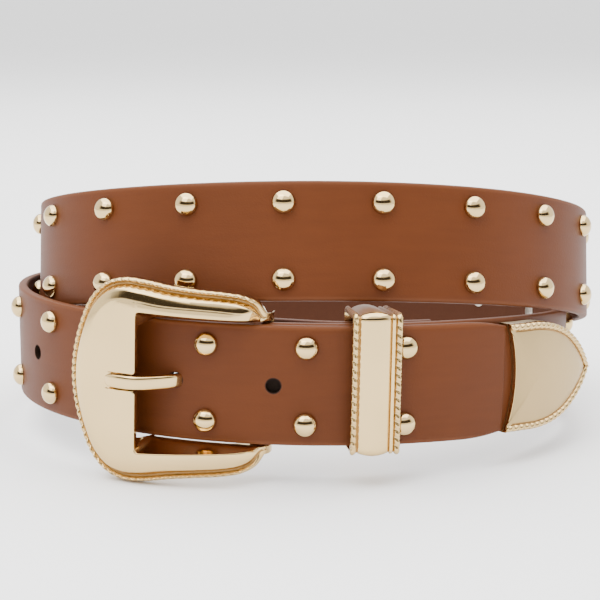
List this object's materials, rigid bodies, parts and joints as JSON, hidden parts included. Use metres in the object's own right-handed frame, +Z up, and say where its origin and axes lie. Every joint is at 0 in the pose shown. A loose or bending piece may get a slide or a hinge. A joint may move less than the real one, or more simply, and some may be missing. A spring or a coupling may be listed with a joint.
{
  "type": "studded belt",
  "caption": "Leather belt with two rows of domed metal studs, western buckle, keeper and pointed metal tip, fastened and wound in two turns, resting on its lower edge.",
  "frame": {"origin": "middle of the belt's box, on the surface that it stands on", "axes": "+Z up across the strap's width, -Y towards the buckle's face, +X along the belt towards its tip"},
  "size_m": [0.1952, 0.1702, 0.0866],
  "materials": {
    "leather": "smooth",
    "pale_gold": "polished",
    "satin_gold": "satin"
  },
  "bodies": {
    "root": {"strap": "leather", "buckle_frame": "pale_gold", "prong": "pale_gold", "keeper": "pale_gold", "tip": "satin_gold", "stud_lower_top_1": "pale_gold", "stud_lower_top_2": "pale_gold", "stud_lower_top_3": "pale_gold", "stud_lower_top_4": "pale_gold", "stud_lower_top_5": "pale_gold", "stud_lower_top_6": "pale_gold", "stud_lower_top_7": "pale_gold", "stud_upper_top_1": "pale_gold", "stud_upper_top_2": "pale_gold", "stud_upper_top_3": "pale_gold", "stud_upper_top_4": "pale_gold", "stud_upper_top_5": "pale_gold", "stud_upper_top_6": "pale_gold", "stud_upper_top_7": "pale_gold", "stud_upper_top_8": "pale_gold", "stud_upper_top_9": "pale_gold", "stud_lower_bottom_1": "pale_gold", "stud_lower_bottom_2": "pale_gold", "stud_lower_bottom_3": "pale_gold", "stud_lower_bottom_4": "pale_gold", "stud_lower_bottom_5": "pale_gold", "stud_lower_bottom_6": "pale_gold", "stud_lower_bottom_7": "pale_gold", "stud_upper_bottom_1": "pale_gold", "stud_upper_bottom_2": "pale_gold", "stud_upper_bottom_3": "pale_gold", "stud_upper_bottom_4": "pale_gold", "stud_upper_bottom_5": "pale_gold", "stud_upper_bottom_6": "pale_gold", "stud_upper_bottom_7": "pale_gold", "stud_upper_bottom_8": "pale_gold", "stud_upper_bottom_9": "pale_gold"}
  },
  "joints": []
}
